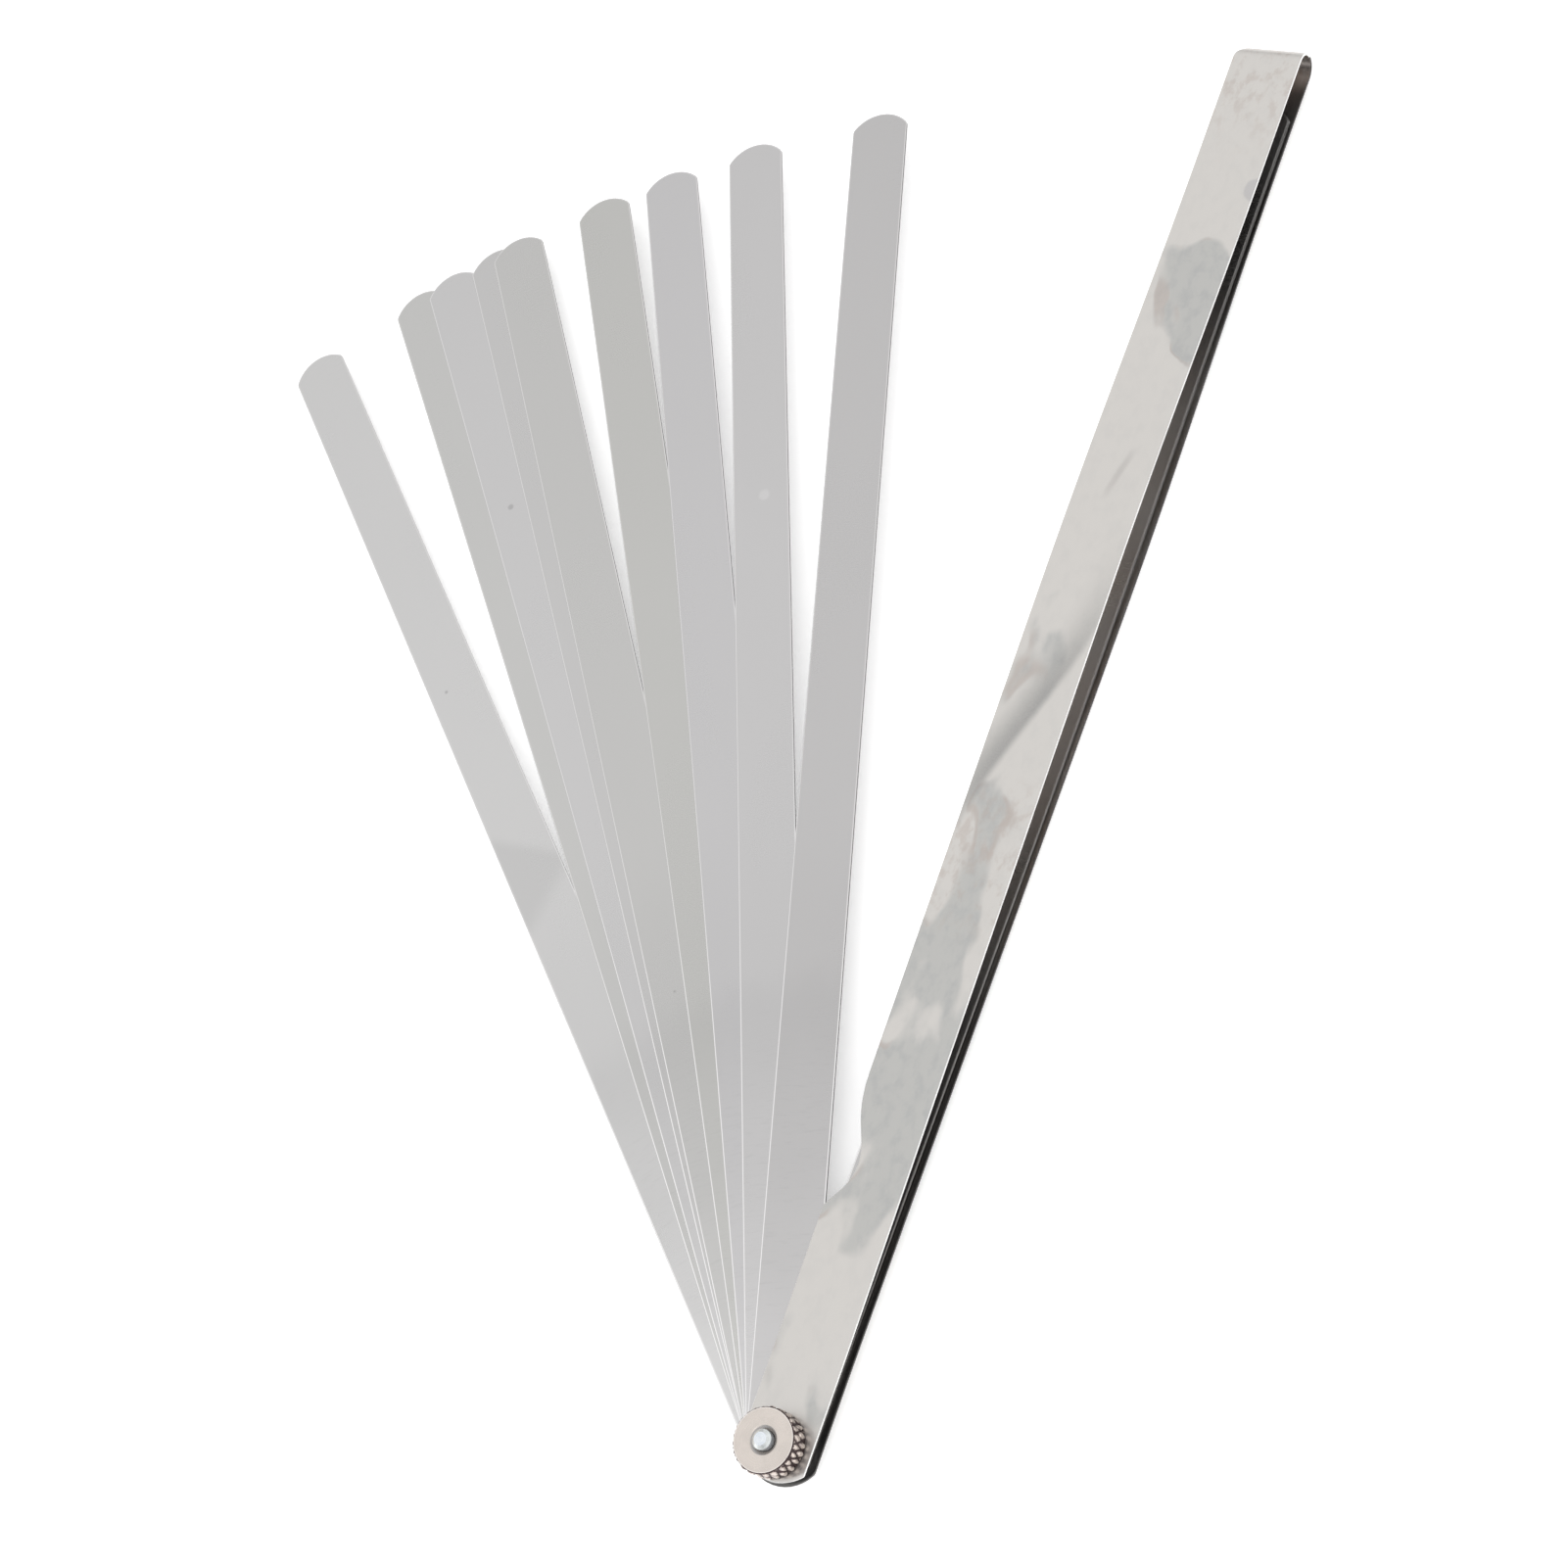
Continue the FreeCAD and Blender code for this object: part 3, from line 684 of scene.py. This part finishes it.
def case_rows(reach, pinch):
    """Rows along the folded strip: place (y, z) and the unit normal that points outwards."""
    front, back = plate_run(reach, pinch, 1.0), plate_run(reach, pinch, -1.0)
    bends = rounded(front + back[::-1])
    points = [bends[0]]
    for p, q in zip(bends, bends[1:]):
        parts = max(1, math.ceil((q - p).length / spacing((p.x + q.x) / 2)))
        points += [p.lerp(q, k / parts) for k in range(1, parts + 1)]
    points = [p for p, q in zip(points, points[1:]) if (q - p).length > 1e-4] + [points[-1]]
    rows = []
    for i, point in enumerate(points):
        along = (points[min(i + 1, len(points) - 1)] - points[max(i - 1, 0)]).normalized()
        rows.append((point, Vector((-along.y, along.x))))
    return rows


def tail_end(x, left, front):
    """Where a plate's tail ends at a place across it."""
    radius, centre = FRONT_END if front else BACK_END
    middle = left + radius if front else BACK_END_SHIFT
    return centre - math.sqrt(max(0.0, radius ** 2 - (x - middle) ** 2))


def case_mesh(materials):
    low, high = corners_of("case")
    left, right, reach = low.x, high.x, high.y
    middle = (low.z + high.z) / 2
    pinch = corners_of("knurled_nut")[0].z - NUT_LIFT - middle
    corner = rounded(((reach - 2 * FOLD_CORNER, 0.0, 0.0),
                      (reach - FOLD_CORNER, 0.0, FOLD_CORNER_RADIUS),
                      (reach + 1.0, FOLD_CORNER + 1.0, 0.0)))
    left_edge = rounded(NOTCH) + corner
    across = [0.5 - 0.5 * math.cos(math.pi * k / COLUMNS) for k in range(COLUMNS + 1)]
    thick, thin = SHEET / 2, SHEET / 2 - SOFT_EDGE
    rows = case_rows(reach, pinch)

    vertices, faces, zones = [], [], []
    ends = (0, len(rows) - 1)
    for number, (point, normal) in enumerate(rows):
        edge = left + interpolate(left_edge, point.x + normal.x * thick)
        near, far = edge + SOFT_EDGE, right - SOFT_EDGE
        ring = [(near + (far - near) * t, thick) for t in across]
        ring += [(right, thin), (right, -thin)]
        ring += [(near + (far - near) * t, -thick) for t in reversed(across)]
        ring += [(edge, -thin), (edge, thin)]
        squeeze = thin / thick if number in ends else 1.0
        for x, offset in ring:
            y = point.x + normal.x * offset * squeeze
            z = middle + point.y + normal.y * offset * squeeze
            if point.x < BOW_START:
                end = tail_end(x, left, point.y > 0)
                y = BOW_START - (BOW_START - point.x) * (BOW_START - end) / (BOW_START + TAIL)
            vertices.append((x, y, z))

    count = len(ring)
    top = COLUMNS + 1
    for number in range(len(rows) - 1):
        for j in range(count):
            k = (j + 1) % count
            faces.append((number * count + j, number * count + k,
                          (number + 1) * count + k, (number + 1) * count + j))
            front = rows[number][0].y > 0
            on_inside = top + 2 <= j < 2 * top + 1
            zones.append(0 if j < top - 1 else 1 if on_inside else 2 if front else 3)
    for number in ends:
        start = number * count
        inner = [start + 2 * top + 1 - j for j in range(top)]
        for j in range(top - 1):
            faces.append((start + j, start + j + 1, inner[j + 1], inner[j]))
            zones.append(2 if number == 0 else 3)
        faces.append((start + top - 1, start + top, start + top + 1, inner[top - 1]))
        faces.append((start, inner[0], start + count - 2, start + count - 1))
        zones += [2 if number == 0 else 3] * 2
    return mesh_from("case_sheet", vertices, faces, materials, zones)


def drill(piece, radius):
    """A hole through a piece on the pivot axis."""
    ring = list(arc((0, 0), radius, 0, 360, 48))[:-1]
    count = len(ring)
    below, above = -5.0, 20.0
    vertices = [(x, y, z) for z in (below, above) for x, y in ring]
    faces = [(k, (k + 1) % count, (k + 1) % count + count, k + count) for k in range(count)]
    faces += [tuple(range(count))[::-1], tuple(range(count, 2 * count))]
    tool = add_object("drill", mesh_from("drill", vertices, faces, [], [0] * len(faces)))
    bore = piece.modifiers.new("bore", "BOOLEAN")
    bore.operation = "DIFFERENCE"
    bore.solver = "EXACT"
    bore.object = tool
    bored = bpy.data.meshes.new_from_object(piece.evaluated_get(bpy.context.evaluated_depsgraph_get()))
    piece.modifiers.clear()
    piece.data = bored
    bpy.data.objects.remove(tool)


def make_case():
    materials = [case_outside(), case_inside(),
                 # one sheared edge in two lights: painted near white as a highlight on the front plate, painted
                 # near black as shade on the back plate
                 cut_edge("case_edge_front", (0.97, 0.965, 0.95, 1.0), (0.74, 0.73, 0.71, 1.0)),
                 cut_edge("case_edge_back", (0.12, 0.115, 0.11, 1.0), (0.07, 0.065, 0.06, 1.0))]
    blank = add_object("case_blank", case_mesh(materials))
    drill(blank, STUD_HOLE_RADIUS)
    mesh = blank.data
    bpy.data.objects.remove(blank)
    shade(mesh, 30.0)
    stand_in("case_sheet", mesh, "case")


# ------------------------------------------------------------------ nut

KNURL_TEETH = 24
KNURL_DEPTH = 0.52
KNURL_ROWS = 40             # mesh rows over the height of the knurl
NUT_CHAMFER = 0.45
NUT_COUNTERSINK = 0.85
ROUND_STEPS = 12            # mesh columns for each tooth


def knurl_reach(radius, angle, share):
    """Radius of the knurl at an angle and a share of its height: two staggered rows of crests."""
    wander = 0.30 * math.sin(5 * angle + 1.0) + 0.22 * math.sin(11 * angle + 3.0 + 4.0 * share)
    round_way = math.cos(KNURL_TEETH * angle + wander)
    up_way = math.cos(math.pi * (2.0 * share - 0.5) + 0.3 * math.sin(7 * angle))
    crest = (abs(round_way + up_way) / 2) ** 0.55
    wear = 1.05 + 0.15 * math.sin(9 * angle + 6.0 * share)
    return radius - KNURL_DEPTH * (1.0 - min(1.0, wear * crest))


def make_nut(face, knurl):
    """A round nut whose knurl runs out through a chamfer at either end."""
    low, high = corners_of("knurled_nut")
    radius, bottom, height = high.x, low.z, high.z - low.z
    face_radius = radius - NUT_CHAMFER
    profile = [(STUD_HOLE_RADIUS, 0.0), (face_radius - 0.1, 0.0)]
    profile += [(radius, height * k / KNURL_ROWS) for k in range(KNURL_ROWS + 1)]
    first, last = 2, len(profile) - 1
    profile += [(face_radius - 0.05, height)]
    profile += [(face_radius - 0.05 - 0.7 * k, height) for k in range(1, 5)]
    profile += [(STUD_HOLE_RADIUS + NUT_COUNTERSINK, height),
                (STUD_HOLE_RADIUS + NUT_COUNTERSINK - 0.05, height - 0.02),
                (STUD_HOLE_RADIUS, height - NUT_COUNTERSINK)]
    steps = KNURL_TEETH * ROUND_STEPS

    vertices, faces, zones = [], [], []
    for number, (r, z) in enumerate(profile):
        chamfer = face_radius + min(z, height - z)
        for step in range(steps):
            a = 2 * math.pi * step / steps
            if first <= number <= last:
                r = min(knurl_reach(radius, a, z / height), chamfer)
            vertices.append((r * math.cos(a), r * math.sin(a), bottom + z))
    for number in range(len(profile)):
        following = (number + 1) % len(profile)
        for step in range(steps):
            beside = (step + 1) % steps
            faces.append((number * steps + step, number * steps + beside,
                          following * steps + beside, following * steps + step))
            zones.append(1 if first - 1 <= number < last else 0)
    mesh = mesh_from("nut_body", vertices, faces, [face, knurl], zones)
    shade(mesh, 28.0)
    stand_in("nut_body", mesh, "knurled_nut")


# ------------------------------------------------------------------ assembly

def dress_stud():
    mesh = NODES["pivot_stud"].data
    mesh.materials.clear()
    mesh.materials.append(stud_zinc())


make_camera()
make_world()
make_floor(pale_floor())
make_area_light("key", (0.5, -0.8, 1.8), 1.6, 4.0)
make_leaves()
make_case()
make_nut(nut_face(), nut_knurl())
dress_stud()
bpy.context.scene.view_settings.view_transform = "Standard"
